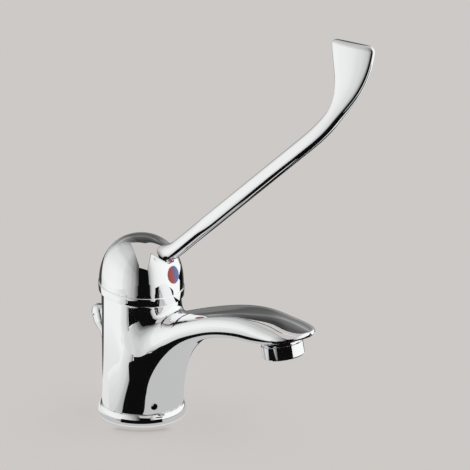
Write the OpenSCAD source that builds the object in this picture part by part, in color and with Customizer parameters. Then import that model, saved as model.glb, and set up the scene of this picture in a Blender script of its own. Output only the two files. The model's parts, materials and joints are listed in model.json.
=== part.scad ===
// Elbow lever basin mixer: cast tower and raised spout, ceramic disc cartridge, domed cap with a long
// round lever that ends in an upright blade, and a pop-up lift rod behind the tower.
// Frame: +Z up, spout and lever toward -Y, origin on the deck at the middle of the base ring.

/* [Base ring] */
// Overhang of the ring beyond the tower wall
ring_lip = 2.6; // [2:0.1:4]
// Height of the ring
ring_h = 6.6; // [6:0.1:9]
// Radius of the ring's rounded outer face
ring_round = 6; // [5.6:0.1:9]
// Depth of the recess that centres the tower in the ring
ring_recess = 3; // [2:0.1:3.2]
// Width of the rubber gasket under the ring
gasket_w = 2.8; // [2:0.1:3.2]
// Distance of the rubber gasket from the ring's bore
gasket_inset = 1.9; // [1.4:0.1:2.2]
// Height of the rubber gasket
gasket_h = 2; // [1:0.1:2.4]

/* [Tower] */
// Diameter of the tower
body_d = 44.8; // [44.2:0.2:50]
// Height of the tower's top face above the deck
body_h = 70.2; // [67:0.2:76]
// Extra radius of the tower at its foot
foot_flare = 0.5; // [0:0.1:0.9]
// Diameter of the spigot that enters the base ring
spigot_d = 39.8; // [39:0.2:40.6]
// Diameter of the hollow foot
foot_bore_d = 34; // [32:0.5:35]
// Thickness of the slab between the hollow foot and the cartridge seat
slab_t = 14; // [13:0.5:16]
// Diameter of the drain hole low in the tower's wall
drain_d = 3.6; // [2:0.2:5]
// Height of the drain hole
drain_h = 11.5; // [10:0.5:16]
// Angle of the drain hole round from the spout
drain_turn = 36; // [30:1:50]

/* [Water ways] */
// Diameter of the inlet threads
inlet_d = 9; // [8:0.2:9.4]
// Depth of the inlet threads
inlet_depth = 9.5; // [8:0.5:10.5]
// Distance of each inlet from the middle plane
inlet_x = 8; // [7.6:0.1:8.6]
// Distance of the inlets in front of the tower's axis
inlet_y = 3; // [2.6:0.1:3.4]
// Diameter of the ports in the cartridge seat and discs
port_d = 6; // [5:0.2:6.4]
// Distance of the outlet port in front of the tower's axis
outlet_port_y = 8.5; // [8:0.1:9]
// Diameter of the passage through the spout
passage_d = 5.6; // [5:0.2:6.2]
// Diameter of the fixing stud's thread
stud_d = 6.8; // [6:0.2:7.2]
// Depth of the fixing stud's thread
stud_depth = 10; // [8:0.5:11]
// Distance of the fixing stud behind the tower's axis
stud_y = 3.5; // [3.2:0.1:3.8]

/* [Spout] */
// Distance from the tower's axis to the outlet
spout_reach = 97.8; // [92:1:125]
// Height of the spout's crest above the deck
crest_h = 78.2; // [75:0.2:86]
// Thickness of the spout at its crest
spout_depth = 15.2; // [14.6:0.2:17]
// Width of the spout
spout_w = 30.8; // [29.6:0.2:34]
// Width of the spout where it leaves the tower
root_w = 40.4; // [38:0.2:42]
// Height of the spout's upper line inside the tower
root_h = 57; // [52:0.5:60]
// Height at which the spout's underside starts inside the tower
throat_h = 8; // [7:0.5:12]
// Length of the rounded nose in front of the outlet
nose_len = 17.5; // [17:0.5:22]
// Drop of the nose's lip below the crest
nose_drop = 5.6; // [5:0.2:6.4]
// Thickness of the nose's lip
lip_t = 1.8; // [1.4:0.2:3]

/* [Outlet] */
// Forward tilt of the outlet
outlet_tilt = 11; // [9:0.5:13]
// Drop of the outlet below the spout's crest underside
outlet_drop = 7.6; // [7.2:0.1:8.2]
// Diameter of the aerator ring
aerator_d = 23.2; // [22.8:0.2:25]
// Height of the aerator ring that shows
aerator_h = 7.4; // [7:0.1:8]
// Diameter of the outlet thread
socket_d = 20.4; // [20:0.2:20.8]
// Depth of the outlet thread
socket_depth = 6; // [5.5:0.1:6.2]
// Wall of the collar round the outlet thread
collar_wall = 0.9; // [0.8:0.1:1.2]
// Wall of the aerator ring's threaded sleeve
thread_wall = 0.65; // [0.5:0.05:0.9]
// Diameter of each hole in the outlet grid
grid_hole_d = 1.7; // [1.4:0.1:2]

/* [Cartridge] */
// Diameter of the cartridge
cart_d = 34.8; // [34.4:0.1:35.4]
// Depth of the clamping nut's thread beyond the cartridge's wall
nut_land = 0.9; // [0.7:0.1:1.2]
// Height of the clamping nut
nut_h = 7.5; // [6.5:0.1:8]
// Distance of the nut below the tower's top face
nut_sink = 0.6; // [0.3:0.1:1]
// Thickness of the cartridge's base plate
base_t = 4.7; // [4.2:0.1:5.4]
// Height that the port seals stand proud of the base plate
seal_proud = 0.3; // [0.2:0.05:0.5]
// Width of the port seals
seal_w = 0.9; // [0.7:0.1:1]
// Diameter of the fixed disc
fixed_d = 25; // [24.6:0.2:27]
// Land between the ports and the edge of the fixed disc
disc_land = 1; // [0.8:0.1:1.2]
// Thickness of the fixed disc
fixed_t = 4; // [3.4:0.1:5]
// Depth of the fixed disc's recess
disc_recess = 2; // [1.4:0.1:2.6]
// Diameter of the moving disc
moving_d = 22; // [21.4:0.2:22.6]
// Thickness of the moving disc
moving_t = 3.5; // [3:0.1:4.5]
// Thickness of the disc carrier
carrier_t = 5; // [4.8:0.1:5.6]
// Half width of the disc carrier between its guide lugs
carrier_half = 12; // [11.6:0.1:12.2]
// Thickness of the guide lugs
lug_t = 1.6; // [1.4:0.1:1.8]
// Wall of the cartridge's shell
shell_wall = 1.6; // [1.2:0.1:1.8]
// Wall of the cartridge's neck
neck_wall = 1.2; // [1:0.1:1.4]
// Height of the stem carrier's drum
drum_h = 10.2; // [9.6:0.1:11]
// Height of the pivot above the foot of the drum
pivot_up = 6.4; // [6:0.1:6.8]
// Diameter of the pivot pin
pin_d = 3; // [2.4:0.1:3.4]
// Length of the pivot pin
pin_len = 25; // [22:0.5:26.5]
// Width of the square stem
stem_w = 8; // [7:0.2:8.4]
// Distance from the pivot to the stem's ball
ball_arm = 8.1; // [7.8:0.1:8.4]
// Diameter of the stem's ball
ball_d = 5.2; // [4.6:0.1:5.4]
// Thickness of the O-ring round the stem carrier
o_ring_d = 1.5; // [1.2:0.1:1.7]

/* [Lever cap] */
// Overhang of the cap beyond the tower wall
cap_lip = 1.8; // [1.6:0.1:2.6]
// Gap between the cap's rim and the tower's edge
cap_clear = 0.5; // [0.4:0.05:0.7]
// Gap between the front of the rim and the tower's top face
rim_gap = 0.3; // [0.2:0.1:1]
// Slope of the rim, lower in front
rim_slope = 4.9; // [4:0.1:7]
// Height of the band above the rim
band_h = 4.9; // [3:0.1:5.2]
// Step from the band to the dome
band_step = 0.25; // [0.1:0.05:0.4]
// Height of the dome's shoulder above the tower's top face
shoulder_up = 7.8; // [7.4:0.1:10]
// Height of the dome above its shoulder
dome_h = 27.8; // [26.6:0.2:32]
// Fullness of the dome, 2 for an ellipse
dome_full = 2.2; // [2.1:0.05:3]
// Wall of the dome
dome_wall = 2.2; // [2:0.1:2.6]
// Diameter of the boss that holds the stem
boss_d = 17; // [15:0.5:18]
// Height of the boss's foot above the pivot
boss_up = 15.5; // [14.5:0.1:16.5]
// Depth of the stem in the boss
stem_grip = 14; // [11.5:0.5:15]
// Height of the marker and its screw above the boss's foot
marker_up = 4.8; // [4.4:0.1:6]
// Diameter of the marker
marker_d = 10; // [9:0.2:10.4]
// Depth of the marker in the cap
marker_depth = 3.2; // [2.8:0.1:3.6]
// Height of the marker's face proud of the cap
marker_proud = 0.8; // [0.2:0.1:1]
// Thickness of the coloured halves
tint_t = 0.8; // [0.5:0.1:1.2]
// Diameter of the grub screw
screw_d = 5; // [4:0.2:6]
// Length of the grub screw
screw_len = 10; // [6:0.5:12]
// Width across the flats of the grub screw's socket
hex_w = 2.5; // [2:0.1:3]

/* [Lever] */
// Diameter of the lever's bar
bar_d = 8.6; // [7.6:0.2:11]
// Rise of the bar above level
bar_rise = 41.4; // [36:0.2:48]
// Length of the bar's straight part
bar_len = 112; // [80:1:150]
// Distance from the tower's axis to the bar's start
bar_out = 28; // [27:0.5:34]
// Height of the bar's start above the dome's shoulder
bar_up = 27.2; // [26:0.2:29]
// Diameter of the bar's root inside the dome
root_d = 17.2; // [15:0.2:18]
// Height of the root's axis above the dome's shoulder
root_up = 18.5; // [17.5:0.1:19.5]
// Forward reach of the blade from the end of the bar
blade_out = 29.4; // [26:0.2:36]
// Rise of the blade above the end of the bar
blade_rise = 61; // [52:0.2:80]
// Lean of the blade's end forward from upright
blade_lean = 1; // [0:1:14]
// Width of the blade's end
blade_w = 27.5; // [20:0.5:32]
// Thickness of the blade
blade_t = 5.4; // [4.4:0.2:7]
// Radius of the blade's corners
blade_corner = 3.6; // [2:0.2:5]

/* [Lift rod] */
// Diameter of the rod
rod_d = 5; // [4:0.1:5.2]
// Lean of the rod back from upright
rod_lean = 16.8; // [16:0.2:17.4]
// Distance of the rod's axis behind the tower's axis, at the deck
rod_y = 13.5; // [13.2:0.1:13.8]
// Length of the rod from its foot to the underside of the knob
rod_len = 45.4; // [43:0.2:56]
// Distance of the rod's foot from the deck along its axis
rod_foot = 1.6; // [1.2:0.1:3]
// Diameter of the knob
knob_d = 9; // [8:0.2:11]
// Length of the knob's cone
knob_cone = 4.4; // [3:0.2:6]
// Length of the knob's band
knob_band = 4.2; // [3:0.2:7]
// Width of the groove round the knob
knob_groove = 1.2; // [0.8:0.1:2]
// Depth of the groove round the knob
knob_groove_t = 0.8; // [0.4:0.1:1.2]
// Depth of the rod in the knob
rod_grip = 6; // [4:0.5:7]
// Wall of the rod's guide bush
bush_wall = 0.75; // [0.6:0.05:0.85]
// Length of the rod's guide bush
bush_len = 12.4; // [10:0.2:12.8]
// Distance of the guide bush from the deck along the rod's axis
bush_foot = 5.1; // [5:0.1:5.4]
// Wall round the rod inside the hollow foot
rod_boss_wall = 2.6; // [2:0.1:3]

/* [Motion] */
// Lift of the lever from shut to full flow
lever_lift = 25; // [20:1:25]

/* [Fits] */
// Radial play of turning and sliding fits
run_play = 0.05; // [0.03:0.01:0.08]
// Radial play of parts that are pushed or screwed together
slip_play = 0.1; // [0.05:0.01:0.15]
// Gap between parts that pass each other
pass_gap = 0.3; // [0.25:0.05:0.4]

/* [Hidden] */
$fn = 96;

chrome = "gainsboro";
brass = "goldenrod";
rubber = "dimgray";
ceramic = "ivory";
cream = "antiquewhite";
steel = "silver";

// Overrun of every cutting tool past the face it cuts
cut = 1;
// Rings along a curved stretch and points round a ring
curve_steps = 12;
ring_points = 32;

// Tower and base ring
body_r = body_d / 2;
foot_r = body_r + foot_flare;
ring_r = body_r + ring_lip;
ring_mid = 2.8;
spigot_r = spigot_d / 2;
spigot_z = ring_h - ring_recess + slip_play;
rod_r = rod_d / 2;
rod_reach = rod_y + spigot_z * tan(rod_lean) + rod_r / cos(rod_lean);
ring_bore_r = max(foot_bore_d / 2 + slip_play, rod_reach + pass_gap);
gasket_in_r = ring_bore_r + gasket_inset;
flare_h = 12;
top_edge = 0.6;

// Cartridge levels, hung from the tower's top face
nut_z = body_h - nut_sink - nut_h;
shoulder_t = 2;
drum_z = nut_z - shoulder_t;
carrier_z = drum_z - pass_gap - carrier_t;
moving_z = carrier_z - moving_t;
fixed_z = moving_z - fixed_t;
base_z = fixed_z + disc_recess - base_t;
seat_z = base_z - seal_proud;
slab_z = seat_z - slab_t;
pivot_z = drum_z + pivot_up;
drum_top = drum_z + drum_h;
lip_z = drum_top + pass_gap;
o_ring_up = 0.5;
o_ring_z = drum_z + o_ring_d + o_ring_up;
neck_lip_t = 2;
drum_neck = 3.2;
drum_step = 2.3;
nut_relief = 1;

// Cartridge radii
cart_r = cart_d / 2;
nut_r = cart_r + nut_land;
shell_r = cart_r - shell_wall;
drum_r = carrier_half + pass_gap + lug_t;
neck_in_r = drum_r + run_play * 2;
neck_r = neck_in_r + neck_wall;
drum_neck_r = drum_r - drum_step;
lip_in_r = drum_neck_r + pass_gap;

// Pivot, stem and the travel of the disc
ball_step = 0.7;
hub_lip = 0.2;
swing = lever_lift;
pin_r = pin_d / 2;
ball_r = ball_d / 2;
ball_z = pivot_z - ball_arm;
arm_r = ball_r - ball_step;
hub_r = stem_w / 2 + hub_lip;
slot_x = stem_w / 2 + pass_gap;
slot_rear = stem_w / 2 / cos(swing) + (drum_top + drum_neck - pivot_z) * tan(swing) + pass_gap;
slot_front = max(hub_r, ball_arm * sin(swing) + ball_r) + pass_gap;

// Cap
dome_step = 0.5;
hollow_step = 3;
skirt_drop = 6;
skirt_z = body_h - skirt_drop;
cap_r = body_r + cap_lip;
cap_in_r = body_r + cap_clear;
rim_z = body_h + rim_gap + cap_r * tan(rim_slope);
shoulder_z = body_h + shoulder_up;
dome_r = cap_r - dome_step;
apex_z = shoulder_z + dome_h;
boss_z = pivot_z + boss_up;
boss_top = apex_z - dome_wall;
stem_top = boss_z + stem_grip;
marker_z = boss_z + marker_up;
marker_r = marker_d / 2;
marker_face = dome_edge(marker_z) + marker_proud;
marker_seat = marker_face - marker_depth;
tint_rim = 0.4;
tint_r = marker_r - tint_rim;
screw_r = screw_d / 2;

// Outlet
outlet_h = crest_h - spout_depth - outlet_drop;
socket_r = socket_d / 2;
collar_r = socket_r + collar_wall;
insert_r = socket_r - slip_play - thread_wall - run_play;
gasket_t = 1;
thread_len = socket_depth - gasket_t;
insert_wall = 1;
insert_in_r = insert_r - insert_wall;
grid_rings = 3;
grid_edge = 0.4;
grid_pitch = (insert_in_r - grid_edge - grid_hole_d / 2) / grid_rings;
grid_t = 1.5;
grid_lip = 0.8;
screen_t = 0.8;

// Lift rod
knob_r = knob_d / 2;
knob_foot = rod_foot + rod_len;
bush_r = rod_r + run_play + bush_wall;
bush_top = bush_foot + bush_len;

// Radius of the dome's outside at height z
function dome_edge(z) =
    dome_r * pow(1 - pow(max(0, z - shoulder_z) / dome_h, dome_full), 1 / dome_full);

function mix(a, b, t) = a + (b - a) * t;

// Eased step from 0 to 1
function ease(t) = let (u = min(1, max(0, t))) u * u * (3 - 2 * u);

// Point on a cubic curve with four handles
function curve(p, t) =
    let (u = 1 - t)
    u * u * u * p[0] + 3 * u * u * t * p[1] + 3 * u * t * t * p[2] + t * t * t * p[3];

function curve_slope(p, t) =
    let (u = 1 - t)
    3 * u * u * (p[1] - p[0]) + 6 * u * t * (p[2] - p[1]) + 3 * t * t * (p[3] - p[2]);

// Point i of an oval with half sizes 1 by 1 and the given fullness
function oval(full, i) =
    let (a = 360 * i / ring_points)
    [sign(cos(a)) * pow(abs(cos(a)), 2 / full), sign(sin(a)) * pow(abs(sin(a)), 2 / full)];

// Ring across the middle plane: half width in X, from a low point to a high point given as [out, up]
function cross_ring(half_w, low, high, full) =
    [for (i = [0:ring_points - 1])
        let (o = oval(full, i), at = (low + high) / 2 + (high - low) / 2 * o[1])
        [half_w * o[0], -at[0], at[1]]];

// Closed skin through rings of equal length
module skin(rings) {
    k = ring_points;
    last = (len(rings) - 1) * k;
    sides = [for (j = [0:len(rings) - 2])
        for (i = [0:k - 1])
            let (a = j * k + i, b = j * k + (i + 1) % k)
            each [[a, a + k, b + k], [a, b + k, b]]];
    ends = [[for (i = [0:k - 1]) i], [for (i = [0:k - 1]) last + k - 1 - i]];
    polyhedron(points = [for (r = rings) each r], faces = concat(sides, ends), convexity = 8);
}

// Tube of revolution between two heights
module sleeve(r_out, r_in, z0, z1) {
    difference() {
        translate([0, 0, z0])
            cylinder(r = r_out, h = z1 - z0);
        translate([0, 0, z0 - cut])
            cylinder(r = r_in, h = z1 - z0 + 2 * cut);
    }
}

// Upright hole between two heights
module bore(x, y, r, z0, z1) {
    translate([x, y, z0])
        cylinder(r = r, h = z1 - z0);
}

// Round passage in the middle plane between two points given as [out, up], with an elbow at its start
module passage(from, to) {
    run = to - from;
    translate([0, -from[0], from[1]]) {
        sphere(d = passage_d + 2 * elbow_room);
        rotate([atan2(run[0], run[1]), 0, 0])
            cylinder(d = passage_d, h = norm(run));
    }
}

// Frame of the outlet: origin in the middle of its lower face, +Z up along its axis
module at_outlet() {
    translate([0, -spout_reach, outlet_h])
        rotate([-outlet_tilt, 0, 0])
            children();
}

// Frame of the lift rod: origin on the deck, +Z up along the rod
module at_rod() {
    translate([0, rod_y, 0])
        rotate([-rod_lean, 0, 0])
            children();
}

// Frame of the marker and its screw: +Z out of the front of the cap, origin on the tower's axis
module at_marker() {
    translate([0, 0, marker_z])
        rotate([90, 0, 0])
            children();
}

// Handles of the spout's upper and lower lines, as [out, up]
root_pull = [24, 9.5];
crest_pull = [22, 0];
throat_pull = [14, 41];
keel_out = 46;
nose_pull = [14, 0];
lip_pull = [-9, 1.9];
chin_pull = [10, -0.6];
jaw_pull = [-11, 4];

// The upper and lower lines of the spout, as curves of [out, up]
crest_out = spout_reach - nose_len;
tip_out = spout_reach + nose_len;
keel_h = crest_h - spout_depth;
lip_h = crest_h - nose_drop;
crest = [crest_out, crest_h];
keel = [crest_out, keel_h];
lip_top = [tip_out, lip_h];
lip_low = [tip_out, lip_h - lip_t];
root_out = 6;
throat_out = 14;
back_top = [[root_out, root_h], [root_out, root_h] + root_pull, crest - crest_pull, crest];
back_low = [[throat_out, throat_h], [throat_out, throat_h] + throat_pull, [keel_out, keel_h], keel];
nose_top = [crest, crest + nose_pull, lip_top + lip_pull, lip_top];
nose_low = [keel, keel + chin_pull, [tip_out, keel_h] + jaw_pull, lip_low];
nose_start = spout_reach + 1;
spout_full = 2.4;
root_sweep = 3.5;
tip_blunt = 0.02;

// Half width of the spout, swept in from the tower and rounded at the nose
function back_half(t) = mix(spout_w, root_w, pow(1 - t, root_sweep)) / 2;
function nose_half(out) =
    let (u = max(0, out - nose_start) / (tip_out - nose_start))
    spout_w / 2 * sqrt(max(tip_blunt * tip_blunt, 1 - u * u));

function spout_back() =
    [for (i = [0:curve_steps - 1])
        let (t = i / curve_steps)
        cross_ring(back_half(t), curve(back_low, t), curve(back_top, t), spout_full)];
function spout_nose() =
    [for (i = [0:curve_steps])
        let (t = sin(90 * i / curve_steps), low = curve(nose_low, t), high = curve(nose_top, t))
        cross_ring(nose_half((low[0] + high[0]) / 2), low, high, spout_full)];

// Centres of the water passage from the outlet port to the outlet thread
passage_z = seat_z - slab_t / 2;
elbow_room = 0.8;
turn_step = 2;
throat_at = 0.36;
neck_at = 0.8;
drop_at = 0.42;
drop_h = 5;
function spout_middle(low, top, t) = (curve(low, t) + curve(top, t)) / 2;
passage_points = [
    [outlet_port_y, passage_z],
    [cart_r + turn_step, passage_z],
    spout_middle(back_low, back_top, throat_at),
    spout_middle(back_low, back_top, neck_at),
    spout_middle(nose_low, nose_top, drop_at)
];

module tower_solid() {
    rotate_extrude()
        polygon([
            [0, spigot_z], [spigot_r, spigot_z], [spigot_r, ring_h], [foot_r, ring_h],
            [body_r, ring_h + flare_h], [body_r, body_h - top_edge], [body_r - top_edge, body_h], [0, body_h]
        ]);
}

// Hollow foot with a thick wall left standing round the lift rod
module foot_hollow() {
    difference() {
        bore(0, 0, foot_bore_d / 2, spigot_z - cut, slab_z);
        at_rod()
            cylinder(r = bush_r + rod_boss_wall, h = slab_z + foot_bore_d);
    }
}

module inlets(r, z0, z1) {
    for (side = [-1, 1])
        bore(side * inlet_x, -inlet_y, r, z0, z1);
}

module body() {
    color(chrome)
        difference() {
            union() {
                tower_solid();
                skin(concat(spout_back(), spout_nose()));
                at_outlet()
                    bore(0, 0, collar_r, aerator_h, aerator_h + socket_depth);
            }
            // Cartridge chamber and the nut's thread
            bore(0, 0, cart_r + slip_play, seat_z, body_h + cut);
            bore(0, 0, nut_r + slip_play, nut_z - nut_relief, body_h + cut);
            // Hollow foot, inlets, ports and the fixing stud's thread
            foot_hollow();
            inlets(inlet_d / 2, slab_z - cut, slab_z + inlet_depth);
            inlets(port_d / 2, slab_z, seat_z + cut);
            bore(0, stud_y, stud_d / 2, slab_z - cut, slab_z + stud_depth);
            // Water way to the outlet
            bore(0, -outlet_port_y, port_d / 2, passage_z, seat_z + cut);
            for (i = [0:len(passage_points) - 2])
                passage(passage_points[i], passage_points[i + 1]);
            at_outlet()
                bore(0, 0, passage_d / 2 + elbow_room, aerator_h, aerator_h + socket_depth + drop_h);
            at_outlet()
                bore(0, 0, socket_r, aerator_h - cut, aerator_h + socket_depth);
            // Lift rod and its guide
            at_rod()
                bore(0, 0, rod_r + pass_gap, 0, knob_foot);
            at_rod()
                bore(0, 0, bush_r + slip_play, 0, bush_top);
            // Drain hole
            translate([0, 0, drain_h])
                rotate([90, 0, -drain_turn])
                    cylinder(d = drain_d, h = ring_r);
        }
}

module base_ring() {
    color(chrome)
        rotate_extrude()
            difference() {
                intersection() {
                    translate([ring_r - ring_round, ring_mid])
                        circle(r = ring_round);
                    square([ring_r + cut, ring_h]);
                    translate([ring_bore_r, 0])
                        square([ring_r, ring_h]);
                }
                translate([0, ring_h - ring_recess])
                    square([spigot_r + slip_play, ring_recess + cut]);
                translate([gasket_in_r, -cut])
                    square([gasket_w, gasket_h + cut]);
            }
}

module base_gasket() {
    color(rubber)
        sleeve(gasket_in_r + gasket_w - slip_play, gasket_in_r + slip_play, 0, gasket_h);
}

// Ports of the cartridge on one circle: two inlets and the mixed outlet
port_circle = fixed_d / 2 - disc_land - port_d / 2;
inlet_turn = atan2(inlet_x, inlet_y);

module cartridge_ports(r, z0, z1) {
    for (turn = [-inlet_turn, 0, inlet_turn])
        bore(port_circle * sin(turn), -port_circle * cos(turn), r, z0, z1);
}

seal_r = port_d / 2 + seal_w;
seal_h = 1.6;

module cartridge_base() {
    color(cream)
        difference() {
            bore(0, 0, cart_r, base_z, base_z + base_t);
            bore(0, 0, fixed_d / 2 + slip_play, fixed_z, base_z + base_t + cut);
            cartridge_ports(port_d / 2, base_z - cut, base_z + base_t);
            cartridge_ports(seal_r + slip_play, base_z - cut, seat_z + seal_h);
        }
}

module port_seals() {
    color(rubber)
        difference() {
            cartridge_ports(seal_r, seat_z, seat_z + seal_h);
            cartridge_ports(port_d / 2, seat_z - cut, seat_z + seal_h + cut);
        }
}

module fixed_disc() {
    color(ceramic)
        difference() {
            bore(0, 0, fixed_d / 2, fixed_z, moving_z);
            cartridge_ports(port_d / 2, fixed_z - cut, moving_z + cut);
        }
}

module cartridge_housing() {
    color(cream)
        rotate_extrude()
            polygon([
                [shell_r, base_z + base_t], [cart_r, base_z + base_t], [cart_r, nut_z], [neck_r, nut_z],
                [neck_r, lip_z + neck_lip_t], [lip_in_r, lip_z + neck_lip_t], [lip_in_r, lip_z],
                [neck_in_r, lip_z], [neck_in_r, drum_z], [shell_r, drum_z]
            ]);
}

module cartridge_nut() {
    notches = 6;
    notch_w = 4;
    notch_depth = 2.5;
    color(brass)
        difference() {
            sleeve(nut_r, neck_r + slip_play, nut_z, nut_z + nut_h);
            for (i = [0:notches - 1])
                rotate([0, 0, i * 360 / notches])
                    translate([0, -notch_w / 2, nut_z + nut_h - notch_depth])
                        cube([nut_r + cut, notch_w, notch_depth + cut]);
        }
}

module aerator_housing() {
    chamfer = 0.7;
    color(chrome)
        at_outlet()
            rotate_extrude()
                polygon([
                    [insert_r - grid_lip, 0], [aerator_d / 2 - chamfer, 0], [aerator_d / 2, chamfer],
                    [aerator_d / 2, aerator_h], [socket_r - slip_play, aerator_h],
                    [socket_r - slip_play, aerator_h + thread_len],
                    [insert_r + run_play, aerator_h + thread_len], [insert_r + run_play, grid_lip],
                    [insert_r - grid_lip, grid_lip]
                ]);
}

// Holes of the outlet grid: a middle one and rings of six, twelve and so on
module grid_holes(r, z0, z1) {
    bore(0, 0, r, z0, z1);
    for (ring = [1:grid_rings])
        for (i = [0:6 * ring - 1])
            rotate([0, 0, 60 * i / ring])
                bore(ring * grid_pitch, 0, r, z0, z1);
}

screen_z = aerator_h + thread_len - screen_t;

module aerator_insert() {
    color(cream)
        at_outlet()
            difference() {
                bore(0, 0, insert_r, grid_lip, screen_z);
                bore(0, 0, insert_in_r, grid_lip + grid_t, screen_z + cut);
                grid_holes(grid_hole_d / 2, 0, screen_z);
            }
}

module aerator_screen() {
    color(steel)
        at_outlet()
            difference() {
                bore(0, 0, insert_r, screen_z, screen_z + screen_t);
                grid_holes(grid_hole_d / 4, screen_z - cut, screen_z + screen_t + cut);
            }
}

module aerator_gasket() {
    color(rubber)
        at_outlet()
            sleeve(socket_r - slip_play, insert_in_r, aerator_h + thread_len, aerator_h + socket_depth);
}

module rod_bush() {
    color(cream)
        at_rod()
            sleeve(bush_r, rod_r + run_play, bush_foot, bush_top);
}

// Round bar along X through the pivot
module pivot_bar(r, len) {
    translate([-len / 2, 0, pivot_z])
        rotate([0, 90, 0])
            cylinder(r = r, h = len);
}

module stem_carrier() {
    lug_half = 5;
    color("white")
        difference() {
            union() {
                bore(0, 0, drum_r, drum_z, drum_top);
                bore(0, 0, drum_neck_r, drum_z, drum_top + drum_neck);
                intersection() {
                    bore(0, 0, drum_r, carrier_z + pass_gap, drum_z + cut);
                    for (side = [-1, 1])
                        translate([side * (carrier_half + pass_gap + lug_t), 0, drum_z])
                            cube([2 * lug_t, 2 * lug_half, 2 * carrier_t], center = true);
                }
            }
            translate([-slot_x, -slot_front, carrier_z])
                cube([2 * slot_x, slot_front + slot_rear, drum_h + carrier_t + drum_neck + cut]);
            pivot_bar(pin_r + run_play, 2 * drum_r + cut);
            sleeve(drum_r + cut, drum_r - o_ring_d - run_play, o_ring_z - o_ring_d / 2 - slip_play,
                o_ring_z + o_ring_d / 2 + slip_play);
        }
}

module carrier_seal() {
    color(rubber)
        translate([0, 0, o_ring_z])
            rotate_extrude()
                translate([drum_r - o_ring_d / 2, 0])
                    circle(d = o_ring_d);
}

module pivot_pin() {
    color(steel)
        pivot_bar(pin_r, pin_len);
}

module moving_disc() {
    pocket_lip = 1;
    pocket_depth = 1.7;
    color(ceramic)
        difference() {
            bore(0, 0, moving_d / 2, moving_z, carrier_z);
            // Mixing pocket in the underside
            bore(0, -port_circle / 2, port_d / 2 + pocket_lip, moving_z - cut, moving_z + pocket_depth);
        }
}

module disc_carrier() {
    wing_half = 6;
    color("white")
        difference() {
            union() {
                bore(0, 0, moving_d / 2, carrier_z, carrier_z + carrier_t);
                translate([-carrier_half, -wing_half, carrier_z])
                    cube([2 * carrier_half, 2 * wing_half, carrier_t]);
            }
            bore(0, 0, ball_r + pass_gap, carrier_z - cut, drum_z + cut);
        }
}

module stem() {
    color(brass)
        difference() {
            union() {
                pivot_bar(hub_r, stem_w);
                translate([-stem_w / 2, -stem_w / 2, pivot_z])
                    cube([stem_w, stem_w, stem_top - pivot_z]);
                bore(0, 0, arm_r, ball_z, pivot_z);
                translate([0, 0, ball_z])
                    sphere(r = ball_r);
            }
            pivot_bar(pin_r + run_play, stem_w + cut);
        }
}

// Outline of a revolved dome from its shoulder to its top, drawn in by a wall
function dome_line(wall) =
    [for (i = [0:2 * curve_steps])
        let (a = 45 * i / curve_steps)
        [(dome_r - wall) * pow(cos(a), 2 / dome_full),
            shoulder_z + (dome_h - wall) * pow(sin(a), 2 / dome_full)]];

module dome_solid() {
    rotate_extrude()
        polygon(concat([[0, skirt_z], [cap_r - band_step, skirt_z]], dome_line(0)));
}

module dome_hollow() {
    rotate_extrude()
        polygon(concat(
            [[0, skirt_z - cut], [cap_in_r, skirt_z - cut], [cap_in_r, shoulder_z - hollow_step]],
            dome_line(dome_wall)));
}

// Slab that follows the rim's slope, between two heights above the rim
module rim_slab(z0, z1) {
    translate([0, 0, rim_z])
        rotate([rim_slope, 0, 0])
            translate([-2 * cap_r, -2 * cap_r, z0])
                cube([4 * cap_r, 4 * cap_r, z1 - z0]);
}

module rim_band() {
    intersection() {
        bore(0, 0, cap_r, skirt_z, apex_z);
        rim_slab(-cut, band_h);
    }
}

// Handles of the lever's lines, and the shares of the blade's line over which it widens and thins
stub_pull = [10, 0];
bar_pull = 10;
bend_pull = 30;
tip_pull = 27;
fan_start = 0.3;
fan_span = 0.75;
thin_span = 0.7;
corner_thin = 0.6;

// The bar's direction and end, as [out, up]
bar_dir = [cos(bar_rise), sin(bar_rise)];
bar_start = [bar_out, shoulder_z + bar_up];
bar_end = bar_start + bar_len * bar_dir;
root_start = [4, shoulder_z + root_up];
root_line = [root_start, root_start + stub_pull, bar_start - bar_pull * bar_dir, bar_start];
blade_tip = bar_end + [blade_out, blade_rise];
blade_line = [
    bar_end, bar_end + bend_pull * bar_dir,
    blade_tip - tip_pull * [sin(blade_lean), cos(blade_lean)], blade_tip
];

// Ring square to a line of [out, up], with its half depth along the middle plane and half thickness
function lever_ring(at, dir, depth, half_t) =
    let (n = [-dir[1], dir[0]] / norm(dir) * depth)
    cross_ring(half_t, at - n, at + n, 2);

function root_rings() =
    [for (i = [0:curve_steps])
        let (t = i / curve_steps, r = mix(root_d, bar_d, ease(t)) / 2)
        lever_ring(curve(root_line, t), curve_slope(root_line, t), r, r)];

// The blade widens, thins and ends in rounded corners
function blade_depth(t) = mix(bar_d, blade_w, ease((t - fan_start) / fan_span)) / 2;
function blade_half(t) = mix(bar_d, blade_t, ease(t / thin_span)) / 2;
function corner_in(t) =
    let (left = blade_rise * (1 - t), c = blade_corner)
    left < c ? c - sqrt(c * c - (c - left) * (c - left)) : 0;
function blade_rings() =
    [for (i = [0:2 * curve_steps])
        let (t = sin(45 * i / curve_steps), inset = corner_in(t))
        lever_ring(curve(blade_line, t), curve_slope(blade_line, t), blade_depth(t) - inset,
            blade_half(t) - inset * corner_thin)];

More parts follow.
